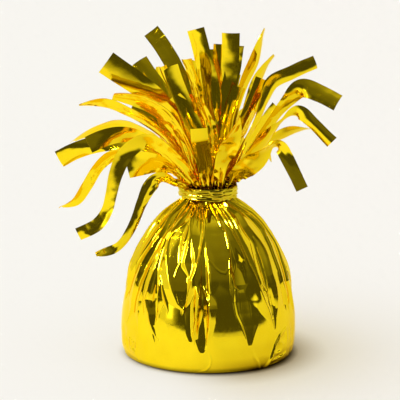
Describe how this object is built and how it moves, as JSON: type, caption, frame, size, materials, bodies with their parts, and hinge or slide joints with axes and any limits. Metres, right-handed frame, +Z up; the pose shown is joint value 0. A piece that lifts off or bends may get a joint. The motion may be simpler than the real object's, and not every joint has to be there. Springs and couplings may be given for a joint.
{
  "type": "balloon weight",
  "caption": "Weighted dome wrapped in pleated gold foil, gathered in a tied neck, with foil fringe above it; holds a balloon ribbon.",
  "frame": {"origin": "centre of the flat underside", "axes": "+Z up along the weight's axis, front faces -Y"},
  "size_m": [0.1045, 0.0813, 0.1215],
  "materials": {
    "outer_foil": "gold metallised film, bright, finely creased",
    "inner_foil": "gold metallised film, bright, finely creased",
    "tie_foil": "gold foil band, crumpled",
    "tie_steel": "plain drawn wire",
    "cup_plastic": "moulded",
    "plug_plastic": "moulded disc",
    "filling_plaster": "cast, slightly rough"
  },
  "bodies": {
    "root": {"weight_cup": "cup_plastic", "weight_filling": "filling_plaster", "base_plug": "plug_plastic", "inner_sheet": "inner_foil", "outer_sheet": "outer_foil", "tie_band": "tie_foil", "tie_wire": "tie_steel", "outer_strip_01": "outer_foil", "outer_strip_02": "outer_foil", "outer_strip_03": "outer_foil", "outer_strip_04": "outer_foil", "outer_strip_05": "outer_foil", "outer_strip_06": "outer_foil", "outer_strip_07": "outer_foil", "outer_strip_08": "outer_foil", "outer_strip_09": "outer_foil", "outer_strip_10": "outer_foil", "outer_strip_11": "outer_foil", "outer_strip_12": "outer_foil", "outer_strip_13": "outer_foil", "outer_strip_14": "outer_foil", "outer_strip_15": "outer_foil", "outer_strip_16": "outer_foil", "inner_strip_17": "inner_foil", "inner_strip_18": "inner_foil", "inner_strip_19": "inner_foil", "inner_strip_20": "inner_foil", "inner_strip_21": "inner_foil", "inner_strip_22": "inner_foil", "inner_strip_23": "inner_foil", "inner_strip_24": "inner_foil", "inner_strip_25": "inner_foil", "inner_strip_26": "inner_foil", "inner_strip_27": "inner_foil", "inner_strip_28": "inner_foil", "inner_strip_29": "inner_foil", "inner_strip_30": "inner_foil", "inner_strip_31": "inner_foil", "inner_strip_32": "inner_foil", "inner_strip_33": "inner_foil", "inner_strip_34": "inner_foil", "inner_strip_35": "inner_foil", "outer_strip_36": "outer_foil", "outer_strip_37": "outer_foil", "outer_strip_38": "outer_foil", "outer_strip_39": "outer_foil", "outer_strip_40": "outer_foil", "outer_strip_41": "outer_foil", "outer_strip_42": "outer_foil", "outer_strip_43": "outer_foil", "outer_strip_44": "outer_foil", "outer_strip_45": "outer_foil", "inner_strip_46": "inner_foil", "inner_strip_47": "inner_foil", "inner_strip_48": "inner_foil", "inner_strip_49": "inner_foil", "inner_strip_50": "inner_foil"}
  },
  "joints": []
}
